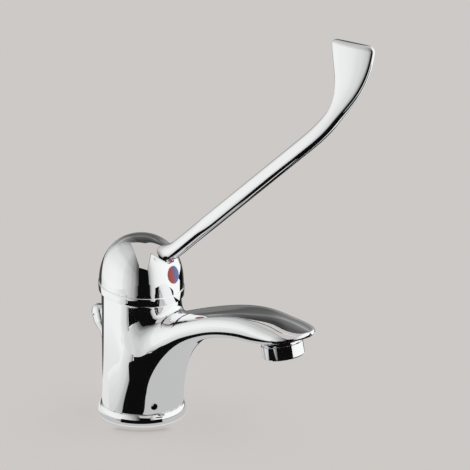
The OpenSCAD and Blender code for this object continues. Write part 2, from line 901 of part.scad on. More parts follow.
module lever_handle() {
    lug_wall = 2.5;
    screw_lug = screw_d + 2 * lug_wall;
    lug_back = 2;
    color(chrome)
        difference() {
            union() {
                difference() {
                    union() {
                        dome_solid();
                        rim_band();
                        skin(concat(root_rings(), blade_rings()));
                    }
                    dome_hollow();
                    rim_slab(-cap_r, 0);
                }
                bore(0, 0, boss_d / 2, boss_z, boss_top);
                translate([-screw_lug / 2, lug_back - marker_seat, boss_z])
                    cube([screw_lug, marker_seat - lug_back, marker_up + screw_lug / 2]);
            }
            translate([-stem_w / 2 - slip_play, -stem_w / 2 - slip_play, boss_z - cut])
                cube([stem_w + 2 * slip_play, stem_w + 2 * slip_play, stem_grip + cut]);
            at_marker()
                bore(0, 0, screw_r + slip_play, 0, cap_r);
            at_marker()
                bore(0, 0, marker_r + slip_play, marker_seat, cap_r + cut);
        }
}

module handle_screw() {
    hex_depth = 4;
    tip = stem_w / 2;
    color(steel)
        at_marker()
            difference() {
                bore(0, 0, screw_r, tip, tip + screw_len);
                translate([0, 0, tip + screw_len - hex_depth])
                    cylinder(r = hex_w / 2 / cos(30), h = hex_depth + cut, $fn = 6);
            }
}

module index_plug() {
    color(chrome)
        at_marker()
            difference() {
                bore(0, 0, marker_r, marker_seat, marker_face);
                bore(0, 0, tint_r, marker_face - tint_t, marker_face + cut);
            }
}

// Half of the marker's coloured face, on the side of X given by side
module tint_half(side) {
    at_marker()
        intersection() {
            bore(0, 0, tint_r - slip_play, marker_face - tint_t, marker_face);
            translate([side > 0 ? 0 : -marker_d, -marker_d, 0])
                cube([marker_d, 2 * marker_d, marker_face + cut]);
        }
}

module index_red() {
    color("firebrick")
        tint_half(-1);
}

module index_blue() {
    color("royalblue")
        tint_half(1);
}

module lift_rod() {
    color(chrome)
        at_rod()
            bore(0, 0, rod_r, rod_foot, knob_foot + rod_grip);
}

module lift_knob() {
    knob_neck = 0.6;
    groove_r = knob_r - knob_groove_t;
    band_z = knob_foot + knob_cone;
    groove_z = band_z + knob_band;
    dome_z = groove_z + knob_groove;
    color(chrome)
        at_rod()
            difference() {
                union() {
                    translate([0, 0, knob_foot])
                        cylinder(r1 = rod_r + knob_neck, r2 = knob_r, h = knob_cone);
                    bore(0, 0, knob_r, band_z, groove_z);
                    bore(0, 0, groove_r, groove_z - cut, dome_z + cut);
                    intersection() {
                        translate([0, 0, dome_z])
                            sphere(r = knob_r);
                        bore(0, 0, knob_d, dome_z, dome_z + knob_d);
                    }
                }
                bore(0, 0, rod_r + run_play, knob_foot - cut, knob_foot + rod_grip);
            }
}

body();
base_ring();
base_gasket();
cartridge_base();
port_seals();
fixed_disc();
cartridge_housing();
cartridge_nut();
aerator_housing();
aerator_insert();
aerator_screen();
aerator_gasket();
rod_bush();
stem_carrier();
carrier_seal();
pivot_pin();
moving_disc();
disc_carrier();
stem();
lever_handle();
handle_screw();
index_plug();
index_red();
index_blue();
lift_rod();
lift_knob();
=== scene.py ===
import json
import math

import bpy
import numpy as np
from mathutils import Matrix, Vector


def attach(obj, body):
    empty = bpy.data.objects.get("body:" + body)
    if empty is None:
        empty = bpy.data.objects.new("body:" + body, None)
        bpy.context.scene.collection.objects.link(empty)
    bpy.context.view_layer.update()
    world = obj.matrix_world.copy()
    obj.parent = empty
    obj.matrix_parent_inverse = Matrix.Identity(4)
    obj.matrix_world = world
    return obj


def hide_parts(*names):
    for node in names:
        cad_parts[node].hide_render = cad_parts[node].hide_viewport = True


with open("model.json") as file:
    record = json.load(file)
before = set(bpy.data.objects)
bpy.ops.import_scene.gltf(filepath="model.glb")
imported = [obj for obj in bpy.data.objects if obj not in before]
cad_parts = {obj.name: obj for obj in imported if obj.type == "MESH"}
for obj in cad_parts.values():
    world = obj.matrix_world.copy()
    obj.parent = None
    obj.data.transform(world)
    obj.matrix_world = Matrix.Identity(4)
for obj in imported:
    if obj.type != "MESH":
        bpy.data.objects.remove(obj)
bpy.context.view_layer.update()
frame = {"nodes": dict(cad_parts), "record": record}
nodes = frame["nodes"]
scene = bpy.context.scene
MM = 0.001
TINY = 1e-9

# Sizes of the object in millimetres and degrees, most of them shared with the part's source.
# Out is the distance from the tower's axis toward the spout, which is minus Y.

# Tower and its hollow foot
BODY_R = 22.4
BODY_H = 70.2
FOOT_R = 22.9
FLARE_H = 12.0
RING_H = 6.6
SPIGOT_R = 19.9
SPIGOT_Z = 3.7
SPIGOT_LAP = 2.0
FOOT_BORE_R = 17.0
SLAB_Z = 30.3
CART_R = 18.4
CART_Z = 56.0
TOP_GAP = 0.35

# Spout
SPOUT_REACH = 97.8
CREST_H = 78.2
SPOUT_DEPTH = 15.2
SPOUT_W = 30.8
ROOT_W = 40.4
ROOT_H = 57.0
THROAT_H = 8.0
NOSE_LEN = 17.5
NOSE_DROP = 5.6
LIP_T = 1.8
ROOT_TAPER = 3.5
SQUARE_FROM = 26.0
BLUNT_FROM = 76.0
CHANGE_LEN = 26.0
LINE_SINK = 0.6
NOSE_LIFT = 0.9
WIDE_AT = 0.5
WIDE_SINK = 0.08
WIDE_NOSE = 0.1
ROOT_FULL = 2.4
TOP_SQUARE = 0.6
TOP_BLUNT = 1.1
LOW_SQUARE = 0.4
SPOUT_START = 6.0
START_ROUND = 6.0

# Outlet, the lift rod's guide and the drain hole
OUTLET_TILT = 11.0
OUTLET_H = 55.4
AERATOR_H = 7.4
COLLAR_R = 11.1
COLLAR_WALL = 0.9
SOCKET_DEPTH = 6.0
ROD_LEAN = 16.8
ROD_Y = 13.5
ROD_HOLE_R = 2.8
ROD_HOLE_LOW = -5.0
ROD_BOSS_R = 5.9
BUSH_HOLE_R = 3.4
BUSH_TOP = 17.5
DRAIN_R = 1.8
DRAIN_H = 11.5
DRAIN_TURN = 36.0

# Fillets and rounded edges of the body; the spout's fillet grows toward its sides
ROOT_FILLET = 9.0
SIDE_FILLET = 4.5
SIDE_FROM = 6.0
SIDE_SPAN = 10.0
COLLAR_FILLET = 1.5
SPIGOT_FILLET = 0.5
TOP_EDGE = 0.8
BORE_EDGE = 0.6
THREAD_EDGE = 0.4
DRAIN_EDGE = 0.5

# Cap: a sloping band with a small lip inside, and a dome
CAP_R = 24.2
CAP_IN_R = 22.9
CAP_GAP = 0.3
RIM_SLOPE = 4.9
RIM_Z = BODY_H + CAP_GAP + CAP_R * math.tan(math.radians(RIM_SLOPE))
BAND_H = 4.9
BAND_EDGE = 0.3
BAND_TUCK = 0.3
BAND_LAP = 0.2
LIP_R = 22.65
LIP_H = 0.8
LIP_TOP = 1.2
DOME_R = 23.7
SHOULDER_Z = 78.0
DOME_H = 27.8
DOME_FULL = 2.2
DOME_WALL = 2.2
HOLLOW_STEP = 3.0

# Lever: round root in the dome, bar and blade; the bar's start is given as (out, up)
BAR_R = 4.3
BAR_RISE = 41.4
BAR_LEN = 112.0
BAR_START = (28.0, 105.2)
BAR_FULL = 3.0
SKIN_END = 16.0
SQUARE_LEN = 14.0
ROOT_LEN = 22.0
ROOT_R = 4.8
ROOT_BEND = 0.011
BEND_FROM = -2.0
FILLET_TOP = 13.0
FILLET_LOW = 4.0
FILLET_BELOW = 3.0
FILLET_SPAN = 7.0
FILLET_HALF = 11.0
BLADE_OUT = 29.4
BLADE_RISE = 61.0
BLADE_LEAN = 1.0
BLADE_W = 27.5
BLADE_T = 5.4
BLADE_CORNER = 3.6
BLADE_FULL = 2.6
BLADE_PULL = (30.0, 27.0)

# Along the blade, from 0 to 1: where it widens, where it is thin and where its rings close up
WIDEN_FROM = 0.3
WIDEN_SPAN = 0.75
THIN_SPAN = 0.7
TIP_FROM = 0.9
TIP_THIN = 0.02

# Index disc: two coloured halves in a thin rim
MARK_R = 5.0
MARK_Z = 86.8
MARK_RIM = 0.22
FACE_PROUD = 0.14
FACE_EDGE = 0.1
EDGE_PROUD = 0.06
RIM_PROUD = 0.07
MARK_SINK = -0.3

# Meshes: step of the grid, depth of the body's plated skin, points around, rings along, angle of sharp edges
GRID = 0.6
PLATED = 0.4
AROUND = 240
BAR_AROUND = 128
BAR_RINGS = 60
BLADE_RINGS = 70
TIP_RINGS = 40
SHARP = 40.0


# Shapes as distance fields

def curve(p, t):
    """Points on a cubic curve with four control points."""
    p = np.asarray(p, float)
    t = np.asarray(t, float)[..., None]
    u = 1 - t
    return u**3 * p[0] + 3 * u * u * t * p[1] + 3 * u * t * t * p[2] + t**3 * p[3]


def ease(t):
    """Smooth step from 0 to 1."""
    u = np.clip(t, 0, 1)
    return u * u * (3 - 2 * u)


def join(a, b, k):
    """Union of two fields with a smooth fillet about k wide."""
    h = np.maximum(k - np.abs(a - b), 0) / k
    return np.minimum(a, b) - h**3 * k / 6


def meet(a, b, k):
    """Intersection of two fields with a rounded edge."""
    return -join(-a, -b, k)


def soften(y, sigma):
    """Gaussian smoothing of an evenly spaced table that keeps its two ends."""
    n = int(4 * sigma)
    w = np.exp(-0.5 * (np.arange(-n, n + 1) / sigma) ** 2)
    padded = np.concatenate([2 * y[0] - y[n:0:-1], y, 2 * y[-1] - y[-2:-n - 2:-1]])
    return np.convolve(padded, w / w.sum(), "valid")


# Spout: control points of its upper and lower line as (out, up)
CREST = SPOUT_REACH - NOSE_LEN
TIP = SPOUT_REACH + NOSE_LEN
KEEL = CREST_H - SPOUT_DEPTH
LIP = CREST_H - NOSE_DROP
NOSE_START = SPOUT_REACH + 1
BACK_TOP = [(6, ROOT_H), (30, ROOT_H + 9.5), (CREST - 22, CREST_H), (CREST, CREST_H)]
BACK_LOW = [(14, THROAT_H), (28, THROAT_H + 41), (46, KEEL), (CREST, KEEL)]
NOSE_TOP = [(CREST, CREST_H), (CREST + 14, CREST_H), (TIP - 9, LIP + 1.9), (TIP, LIP)]
NOSE_LOW = [(CREST, KEEL), (CREST + 10, KEEL - 0.6), (TIP - 11, KEEL + 4), (TIP, LIP - LIP_T)]
ALONG = np.linspace(0, 1, 1500)
OUT = np.linspace(0, TIP, 2400)
LINE_SMOOTH = 40
WIDTH_SMOOTH = 60


def spout_line(back, nose):
    """Height of the upper or lower line at each step of OUT."""
    line = np.concatenate([curve(back, ALONG), curve(nose, ALONG)[1:]])
    return soften(np.interp(OUT, line[:, 0], line[:, 1]), LINE_SMOOTH)


def spout_half_width():
    """Half width at each step of OUT, before the nose rounds in."""
    out = (curve(BACK_TOP, ALONG)[:, 0] + curve(BACK_LOW, ALONG)[:, 0]) / 2
    half = (SPOUT_W + (ROOT_W - SPOUT_W) * (1 - ALONG) ** ROOT_TAPER) / 2
    return soften(np.interp(OUT, out, half), WIDTH_SMOOTH)


# The section is two half superellipses that meet at its widest height, squarer past the root and blunt
# at the nose; a power of 2 is an ellipse
SQUARE = ease((OUT - SQUARE_FROM) / CHANGE_LEN)
BLUNT = ease((OUT - BLUNT_FROM) / CHANGE_LEN)
TOP = spout_line(BACK_TOP, NOSE_TOP) - LINE_SINK * SQUARE + NOSE_LIFT * BLUNT
LOW = spout_line(BACK_LOW, NOSE_LOW) - LINE_SINK * SQUARE
WIDE = LOW + (WIDE_AT - WIDE_SINK * SQUARE - WIDE_NOSE * BLUNT) * (TOP - LOW)
TABLES = [WIDE, TOP - WIDE, WIDE - LOW, spout_half_width()]
SLOPES = [np.gradient(table, OUT) for table in TABLES]
POWERS = [ROOT_FULL + TOP_SQUARE * SQUARE - TOP_BLUNT * BLUNT, ROOT_FULL + LOW_SQUARE * SQUARE]


def spout_field(x, y, z):
    """About the distance to the spout: its section's own measure over the length of that measure's slope."""
    out = np.clip(-y, 0, TIP)
    wide, crown, belly, half = (np.interp(out, OUT, table) for table in TABLES)
    d_wide, d_crown, d_belly, d_half = (np.interp(out, OUT, table) for table in SLOPES)
    u = np.clip((out - NOSE_START) / (TIP - NOSE_START), 0, 0.9995)
    round_in = np.sqrt(1 - u * u)
    d_half = d_half * round_in - half * u / round_in / (TIP - NOSE_START) * (u > 0)
    half = half * round_in
    up = z > wide
    rise, d_rise = np.where(up, crown, belly), np.where(up, d_crown, d_belly)
    full = np.where(up, *(np.interp(out, OUT, power) for power in POWERS))
    a, b = np.abs(x) / half + TINY, np.abs(z - wide) / rise + TINY
    g = (a**full + b**full) ** (1 / full)
    ka, kb = (a / g) ** (full - 1), (b / g) ** (full - 1)
    slope_x, slope_z = ka / half, kb / rise
    slope_out = -ka * a / half * d_half - kb * (np.sign(z - wide) * d_wide / rise + b / rise * d_rise)
    d = (g - 1) / np.sqrt(slope_x * slope_x + slope_z * slope_z + slope_out * slope_out)
    return meet(d + np.maximum(-y - TIP, 0), y + SPOUT_START, START_ROUND)


def outlet_frame(x, y, z):
    """Radius and height in the outlet's own frame."""
    c, s = math.cos(math.radians(OUTLET_TILT)), math.sin(math.radians(OUTLET_TILT))
    yy, zz = y + SPOUT_REACH, z - OUTLET_H
    return np.hypot(x, yy * c - zz * s), yy * s + zz * c


def rod_frame(x, y, z):
    """Radius and height in the lift rod's own frame."""
    c, s = math.cos(math.radians(ROD_LEAN)), math.sin(math.radians(ROD_LEAN))
    yy = y - ROD_Y
    return np.hypot(x, yy * c - z * s), yy * s + z * c


def body_outside(x, y, z):
    """Tower, spout, collar of the outlet and spigot in one skin."""
    r = np.hypot(x, y)
    flare = np.clip(1 - (z - RING_H) / FLARE_H, 0, 1)
    tower = r - BODY_R - (FOOT_R - BODY_R) * flare * flare
    tower = meet(tower, z - RIM_Z + TOP_GAP - y * math.tan(math.radians(RIM_SLOPE)), TOP_EDGE)
    fillet = ROOT_FILLET + SIDE_FILLET * ease((np.abs(x) - SIDE_FROM) / SIDE_SPAN)
    f = join(tower, spout_field(x, y, z), fillet)
    outlet_r, outlet_h = outlet_frame(x, y, z)
    collar_end = np.abs(outlet_h - AERATOR_H - SOCKET_DEPTH / 2) - SOCKET_DEPTH / 2
    f = join(f, np.maximum(outlet_r - COLLAR_R, collar_end), COLLAR_FILLET)
    f = meet(f, RING_H - z, BORE_EDGE)
    spigot = np.maximum(r - SPIGOT_R, np.maximum(SPIGOT_Z - z, z - RING_H - SPIGOT_LAP))
    return join(f, spigot, SPIGOT_FILLET)


def body_field(x, y, z):
    """The outside less the cartridge's chamber, the hollow foot and the holes for outlet, rod and drain."""
    r = np.hypot(x, y)
    outlet_r, outlet_h = outlet_frame(x, y, z)
    rod_r, rod_h = rod_frame(x, y, z)
    turn = math.radians(DRAIN_TURN)
    drain_h = -x * math.sin(turn) - y * math.cos(turn)
    drain_r = np.hypot(-x * math.cos(turn) + y * math.sin(turn), z - DRAIN_H)
    chamber = np.maximum(r - CART_R, CART_Z - z)
    foot = np.maximum(np.maximum(r - FOOT_BORE_R, z - SLAB_Z), ROD_BOSS_R - rod_r)
    socket = np.maximum(outlet_r - COLLAR_R + COLLAR_WALL, outlet_h - AERATOR_H - SOCKET_DEPTH)
    rod_hole = np.maximum(rod_r - ROD_HOLE_R, ROD_HOLE_LOW - rod_h)
    bush_hole = np.maximum(rod_r - BUSH_HOLE_R, rod_h - BUSH_TOP)
    drain = np.maximum(drain_r - DRAIN_R, -drain_h)
    f = body_outside(x, y, z)
    for hole, edge in ((chamber, BORE_EDGE), (foot, BORE_EDGE), (socket, THREAD_EDGE),
                       (rod_hole, BORE_EDGE), (bush_hole, BORE_EDGE), (drain, DRAIN_EDGE)):
        f = meet(f, -hole, edge)
    return f


# Lever: its line from inside the dome to the tip of the blade, as (out, up)
BAR_DIR = np.array([math.cos(math.radians(BAR_RISE)), math.sin(math.radians(BAR_RISE))])
BLADE_DIR = np.array([math.sin(math.radians(BLADE_LEAN)), math.cos(math.radians(BLADE_LEAN))])
START = np.array(BAR_START)
END = START + BAR_LEN * BAR_DIR
TIP_AT = END + np.array([BLADE_OUT, BLADE_RISE])
BLADE_LINE = [END, END + BLADE_PULL[0] * BAR_DIR, TIP_AT - BLADE_PULL[1] * BLADE_DIR, TIP_AT]


def dome_field(x, y, z):
    """About the distance to the dome, a superellipse turned about the axis on a straight wall."""
    r = np.hypot(x, y)
    h = np.maximum(z - SHOULDER_Z, 0)
    a, b = r / DOME_R + TINY, h / DOME_H + TINY
    g = (a**DOME_FULL + b**DOME_FULL) ** (1 / DOME_FULL)
    slope_r = (a / g) ** (DOME_FULL - 1) / DOME_R
    slope_h = (b / g) ** (DOME_FULL - 1) / DOME_H
    return (g - 1) / np.hypot(slope_r, slope_h)


def root_field(x, y, z):
    """Distance to the round root of the bar, and height above its line."""
    out, up = -y - START[0], z - START[1]
    along = out * BAR_DIR[0] + up * BAR_DIR[1]
    above = up * BAR_DIR[0] - out * BAR_DIR[1] - ROOT_BEND * np.maximum(BEND_FROM - along, 0) ** 2
    radius = BAR_R + (ROOT_R - BAR_R) * ease(-along / ROOT_LEN)
    behind = np.maximum(-ROOT_LEN - along, 0)
    return np.sqrt(x * x + above * above + behind * behind) - radius, above


def cap_field(x, y, z):
    """Dome and root, with a fillet that is widest over the top of the root."""
    root, above = root_field(x, y, z)
    wide = ease((above + FILLET_BELOW) / FILLET_SPAN) * (1 - ease(np.abs(x) / FILLET_HALF))
    return join(dome_field(x, y, z), root, FILLET_LOW + (FILLET_TOP - FILLET_LOW) * wide)


# Meshes from fields

CORNERS = [(i, j, k) for i in (0, 1) for j in (0, 1) for k in (0, 1)]


def crossed_cells(inside):
    """Cells of the grid that the surface runs through, and a grid of their numbers."""
    size = np.array(inside.shape) - 1
    count = np.zeros(size, int)
    for i, j, k in CORNERS:
        count += inside[i:i + size[0], j:j + size[1], k:k + size[2]]
    cells = np.argwhere((count > 0) & (count < len(CORNERS)))
    index = np.full(size, -1)
    index[tuple(cells.T)] = np.arange(len(cells))
    return cells, index


def cell_points(f, cells):
    """Mean of the places where the surface cuts the edges of each cell, in steps of the grid."""
    total, hits = np.zeros((len(cells), 3)), np.zeros(len(cells))
    for start in CORNERS:
        for axis in range(3):
            if start[axis]:
                continue
            end = np.array(start)
            end[axis] = 1
            fa, fb = f[tuple((cells + start).T)], f[tuple((cells + end).T)]
            cross = (fa < 0) != (fb < 0)
            p = (cells + start).astype(float)
            p[:, axis] += np.where(cross, fa / np.where(cross, fa - fb, 1), 0)
            total += p * cross[:, None]
            hits += cross
    return total / hits[:, None]


def net_quads(inside, index):
    """A quad across each edge of the grid that the surface cuts, facing outward."""
    n = inside.shape
    quads = []
    for axis in range(3):
        b, c = (axis + 1) % 3, (axis + 2) % 3
        lead, tail = [slice(None)] * 3, [slice(None)] * 3
        lead[axis], tail[axis] = slice(0, -1), slice(1, None)
        edge = np.argwhere(inside[tuple(lead)] != inside[tuple(tail)])
        within = (edge[:, b] > 0) & (edge[:, c] > 0) & (edge[:, b] < n[b] - 1) & (edge[:, c] < n[c] - 1)
        edge = edge[within]
        corners = []
        for db, dc in ((-1, -1), (0, -1), (0, 0), (-1, 0)):
            cell = edge.copy()
            cell[:, b] += db
            cell[:, c] += dc
            corners.append(index[tuple(cell.T)])
        quad = np.stack(corners, 1)
        flip = ~inside[tuple(edge.T)]
        quad[flip] = quad[flip][:, ::-1]
        quads.append(quad)
    return np.concatenate(quads)


def slope(field, p, eps=0.02):
    """Gradient of a field at points."""
    g = np.zeros_like(p)
    for i in range(3):
        d = np.zeros(3)
        d[i] = eps
        g[:, i] = (field(*(p + d).T) - field(*(p - d).T)) / (2 * eps)
    return g


def settle(field, p, rounds=4, reach=0.4 * GRID, flat=0.05):
    """Moves points on to the zero surface, each round by no more than reach."""
    for _ in range(rounds):
        g = slope(field, p)
        move = -field(*p.T)[:, None] * g / np.maximum((g * g).sum(1), flat)[:, None]
        size = np.linalg.norm(move, axis=1, keepdims=True)
        p = p + move * np.minimum(1, reach / np.maximum(size, TINY))
    return p


def surface_net(field, low, high):
    """Points and quads over a field's zero surface within a box."""
    low = np.array(low, float)
    axes = [np.arange(a, b + GRID, GRID) for a, b in zip(low, high)]
    f = field(*np.meshgrid(*axes, indexing="ij"))
    inside = f < 0
    cells, index = crossed_cells(inside)
    return settle(field, low + cell_points(f, cells) * GRID), net_quads(inside, index)


def trim(p, faces, side):
    """Keeps a mesh where side is positive, and cuts the faces on its border along side = 0."""
    v = side(p)
    keep = v > 0
    points, whole, split = list(p), [], {}

    def crossing(a, b):
        key = (min(a, b), max(a, b))
        if key not in split:
            w = v[a] / (v[a] - v[b])
            split[key] = len(points)
            points.append(p[a] + (p[b] - p[a]) * w)
        return split[key]

    for face in faces:
        kept = keep[face]
        if kept.all():
            whole.append(list(face))
        elif kept.any():
            ring = []
            for i in range(len(face)):
                a, b = face[i], face[(i + 1) % len(face)]
                if keep[a]:
                    ring.append(a)
                if keep[a] != keep[b]:
                    ring.append(crossing(a, b))
            if len(ring) >= 3:
                whole.append(ring)
    used, back = np.unique(np.concatenate(whole), return_inverse=True)
    ends = np.cumsum([0] + [len(face) for face in whole])
    return np.array(points)[used], [back[i:j] for i, j in zip(ends, ends[1:])]


def loft(rows, round_about=True, close_end=False):
    """Quads between rows of equal length, joined round about or not, with or without a face at the end."""
    k = len(rows[0])
    faces = []
    for j in range(len(rows) - 1):
        for i in range(k if round_about else k - 1):
            a, b = j * k + i, j * k + (i + 1) % k
            faces.append([a + k, b + k, b, a])
    if close_end:
        last = (len(rows) - 1) * k
        faces.append([last + i for i in reversed(range(k))])
    return np.concatenate(rows), faces


def field_normals(field, p):
    """Unit normals from a field's gradient."""
    g = slope(field, p)
    return g / np.maximum(np.linalg.norm(g, axis=-1, keepdims=True), TINY)


def make(name, points, faces, normals, body, look):
    """A piece from points in millimetres, with a normal at each point or none given."""
    mesh = bpy.data.meshes.new(name)
    mesh.from_pydata((np.asarray(points) * MM).tolist(), [], [list(map(int, f)) for f in faces])
    mesh.polygons.foreach_set("use_smooth", [True] * len(mesh.polygons))
    if normals is not None:
        mesh.normals_split_custom_set_from_vertices(np.asarray(normals).tolist())
    mesh.materials.append(look)
    piece = bpy.data.objects.new(name, mesh)
    scene.collection.objects.link(piece)
    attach(piece, body)
    return piece


# Materials

def srgb(*c):
    """Linear colour of an 8-bit colour."""
    v = [x / 255 for x in c]
    return tuple(x / 12.92 if x <= 0.04045 else ((x + 0.055) / 1.055) ** 2.4 for x in v) + (1.0,)


def node(tree, kind, **values):
    """A new node with its inputs or properties set by name."""
    n = tree.nodes.new(kind)
    for k, v in values.items():
        if k in n.inputs:
            n.inputs[k].default_value = v
        else:
            setattr(n, k, v)
    return n


def finish_detail(tree, shader, scale, low, high, bump_scale, bump):
    """Roughness that wanders between two values, and a fine bump, both fixed to the object."""
    coords = node(tree, "ShaderNodeTexCoord")
    noise = node(tree, "ShaderNodeTexNoise", Scale=scale, Detail=4.0, Roughness=0.6)
    tree.links.new(coords.outputs["Object"], noise.inputs["Vector"])
    limits = {"From Min": 0.3, "From Max": 0.7, "To Min": low, "To Max": high}
    spread = node(tree, "ShaderNodeMapRange", **limits)
    tree.links.new(noise.outputs["Fac"], spread.inputs["Value"])
    tree.links.new(spread.outputs["Result"], shader.inputs["Roughness"])
    fine = node(tree, "ShaderNodeTexNoise", Scale=bump_scale, Detail=2.0)
    tree.links.new(coords.outputs["Object"], fine.inputs["Vector"])
    height = node(tree, "ShaderNodeBump", Strength=bump, Distance=0.0002)
    tree.links.new(fine.outputs["Fac"], height.inputs["Height"])
    tree.links.new(height.outputs["Normal"], shader.inputs["Normal"])


def principled(name, colour):
    """A new material of one colour, with its tree and shader."""
    m = bpy.data.materials.new(name)
    m.use_nodes = True
    shader = m.node_tree.nodes["Principled BSDF"]
    shader.inputs["Base Color"].default_value = colour
    return m, m.node_tree, shader


def metal(name, colour, low, high, bump_scale, bump):
    """Plated or bare metal, with roughness from low to high."""
    m, tree, shader = principled(name, colour)
    shader.inputs["Metallic"].default_value = 1.0
    finish_detail(tree, shader, 60.0, low, high, bump_scale, bump)
    return m


def plastic(name, colour, low, high, bump=0.05, coat=0.0):
    """Plastic, rubber or ceramic, with roughness from low to high."""
    m, tree, shader = principled(name, colour)
    shader.inputs["Coat Weight"].default_value = coat
    shader.inputs["Coat Roughness"].default_value = 0.05
    finish_detail(tree, shader, 120.0, low, high, 900.0, bump)
    return m


chrome = metal("chrome_plate", (0.93, 0.935, 0.94, 1), 0.015, 0.035, 180.0, 0.01)
looks = {
    "chrome_plate": chrome,
    "raw_brass": metal("raw_brass", (0.68, 0.50, 0.22, 1), 0.18, 0.34, 600.0, 0.12),
    "steel": metal("drawn_steel", (0.55, 0.55, 0.56, 1), 0.2, 0.36, 700.0, 0.1),
    "black_rubber": plastic("black_rubber", (0.018, 0.018, 0.018, 1), 0.55, 0.8, 0.25),
    "cream_plastic": plastic("cream_plastic", (0.78, 0.71, 0.57, 1), 0.35, 0.5),
    "white_plastic": plastic("white_plastic", (0.82, 0.82, 0.80, 1), 0.3, 0.45),
    "ceramic": plastic("ceramic", (0.86, 0.83, 0.76, 1), 0.12, 0.22, 0.02, 0.5),
    "red_plastic": plastic("red_plastic", srgb(176, 44, 40), 0.16, 0.28, 0.03, 0.6),
    "blue_plastic": plastic("blue_plastic", srgb(64, 92, 170), 0.16, 0.28, 0.03, 0.6),
}
# Raw inside of the body, its colour darkened well past bare brass: painted shade in the chamber, the hollow
# foot and the holes
raw_inside_shaded = metal("raw_casting_painted_shade", (0.12, 0.09, 0.05, 1), 0.45, 0.65, 500.0, 0.3)
for part in frame["record"]["subparts"]:
    data = nodes[part["node"]].data
    data.materials.clear()
    data.materials.append(looks[part["material_slot"]])


# Body: one cast piece, plated outside and raw inside; the raw inside is painted dark as shade

def depth(p):
    """How far points lie under the plated skin."""
    return -body_outside(*p.T) - PLATED


# The grid fills a box that holds the whole shape
BODY_BOX = (-25.2, -118.2, 2.1), (25.2, 25.2, 80.1)
p, quads = surface_net(body_field, *BODY_BOX)
skin, faces = trim(p, quads, lambda a: -depth(a))
normals = field_normals(body_field, skin)
body_skin = make("body_skin", skin, faces, normals, "tap_body", chrome)
raw, faces = trim(p, quads, depth)
normals = field_normals(body_field, raw)
# The unplated inside takes the darkened colour, painted shade
make("body_inside", raw, faces, normals, "tap_body", raw_inside_shaded)
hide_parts("body")


# Cap: the dome with the bar's root, from the band's top to the end of the skin on the bar

SLOPE = math.radians(RIM_SLOPE)
RIM_UP = np.array([0, -math.sin(SLOPE), math.cos(SLOPE)])


def rim_height(p):
    """Height above the cap's sloping rim."""
    return (p - [0, 0, RIM_Z]) @ RIM_UP


def bar_height(p):
    """Distance along the bar from its start."""
    return (-p[:, 1] - START[0]) * BAR_DIR[0] + (p[:, 2] - START[1]) * BAR_DIR[1]


CAP_BOX = (-25.2, -58.8, 70.0), (25.2, 25.2, 134.4)
p, quads = surface_net(cap_field, *CAP_BOX)
p, faces = trim(p, quads, lambda a: rim_height(a) - BAND_H)
p, faces = trim(p, faces, lambda a: SKIN_END - bar_height(a))
cap_skin = make("cap_skin", p, faces, field_normals(cap_field, p), "lever", chrome)


# Band under the dome with eased edges, and the hollow inside of the cap

angle = np.linspace(0, 2 * np.pi, AROUND, endpoint=False)
circle = np.stack([np.cos(angle), np.sin(angle)], 1)


def slanted(r, h):
    """A ring of radius r on the plane h above the sloping rim."""
    z = RIM_Z + h / math.cos(SLOPE) + circle[:, 1] * r * math.tan(SLOPE)
    return np.column_stack([circle * r, z])


def level(r, z):
    """A level ring."""
    return np.column_stack([circle * r, np.full(AROUND, z)])


def band_rows():
    """Rings over the band, round its two edges, past the lip and up the inside of the dome."""
    corner = [(BAND_EDGE * math.cos(a), BAND_EDGE * math.sin(a)) for a in np.radians(np.linspace(0, 90, 7))]
    rows = [slanted(DOME_R - BAND_LAP, BAND_H)]
    rows += [slanted(CAP_R - BAND_EDGE + s, BAND_H - BAND_EDGE + c) for c, s in corner]
    rows += [slanted(CAP_R - BAND_TUCK - BAND_EDGE + c, BAND_EDGE - s) for c, s in corner]
    rows += [slanted(LIP_R, 0), slanted(LIP_R, LIP_H), slanted(CAP_IN_R, LIP_TOP)]
    rows.append(level(CAP_IN_R, SHOULDER_Z - HOLLOW_STEP))
    for a in np.linspace(0, np.pi / 2, 14)[:-1]:
        rows.append(level((DOME_R - DOME_WALL) * math.cos(a) ** (2 / DOME_FULL),
                          SHOULDER_Z + (DOME_H - DOME_WALL) * math.sin(a) ** (2 / DOME_FULL)))
    return rows


p, faces = loft(band_rows(), close_end=True)
cap_band = make("cap_band", p, faces, None, "lever", chrome)
cap_band.data.set_sharp_from_angle(angle=math.radians(SHARP))


# Bar and blade: rings square to the lever's line

def lever_ring(at, along, depth, half, full):
    """A superellipse about a point of the line, depth in the lever's plane and half across it."""
    a = np.linspace(0, 2 * np.pi, BAR_AROUND, endpoint=False)
    n = np.array([-along[1], along[0]]) / np.linalg.norm(along)
    c, s = np.cos(a), np.sin(a)
    v = np.sign(s) * np.abs(s) ** (2 / full) * depth
    x = np.sign(c) * np.abs(c) ** (2 / full) * half
    q = at + v[:, None] * n
    return np.column_stack([x, -q[:, 0], q[:, 1]])


def corner_inset(radius, left):
    """How far a rounded corner has come in where left remains to the end."""
    if left >= radius:
        return 0
    return radius - math.sqrt(max(radius * radius - (radius - left) ** 2, 0))


